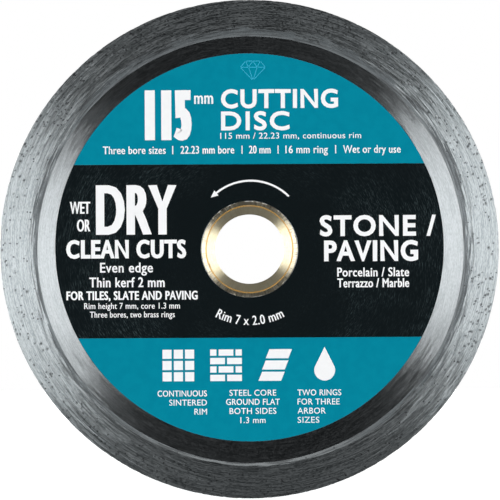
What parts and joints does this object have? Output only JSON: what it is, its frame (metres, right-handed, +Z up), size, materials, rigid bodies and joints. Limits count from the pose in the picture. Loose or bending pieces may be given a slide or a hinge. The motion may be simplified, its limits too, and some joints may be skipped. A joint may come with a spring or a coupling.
{
  "type": "diamond blade",
  "caption": "Thin round cutting blade for tile and stone: steel core, sintered diamond rim, nested bore-reducing rings and a printed face.",
  "frame": {"origin": "centre of the bore, at mid thickness of the core", "axes": "+Y along the blade's axis, away from the printed front, which faces -Y; +Z up across the print, +X to the right as the front is read"},
  "size_m": [0.115, 0.002, 0.115],
  "materials": {
    "ground_steel": "ground in fine arcs around the axis",
    "sintered_rim": "sintered metal with diamond grit, coarsely ground",
    "brass": "turned, pale and slightly worn",
    "black_ink": "thin satin print on ground steel",
    "teal_ink": "flat satin print",
    "white_ink": "flat print"
  },
  "bodies": {
    "blade": {"steel_core": "ground_steel", "diamond_rim": "sintered_rim", "front_black_band": "black_ink", "front_teal_upper": "teal_ink", "front_teal_lower": "teal_ink", "front_rotation_arrow": "white_ink", "back_black_band": "black_ink", "back_teal_upper": "teal_ink", "back_teal_lower": "teal_ink", "back_rotation_arrow": "white_ink"},
    "outer_ring": {"outer_reducer": "brass"},
    "inner_ring": {"inner_reducer": "brass"}
  },
  "joints": [
    {"name": "outer_ring_slide", "type": "slide", "parent": "blade", "child": "outer_ring", "axis": [0, -1, 0], "range_m": [-0.012, 0.012]},
    {"name": "inner_ring_slide", "type": "slide", "parent": "outer_ring", "child": "inner_ring", "axis": [0, -1, 0], "range_m": [-0.012, 0.012]}
  ]
}
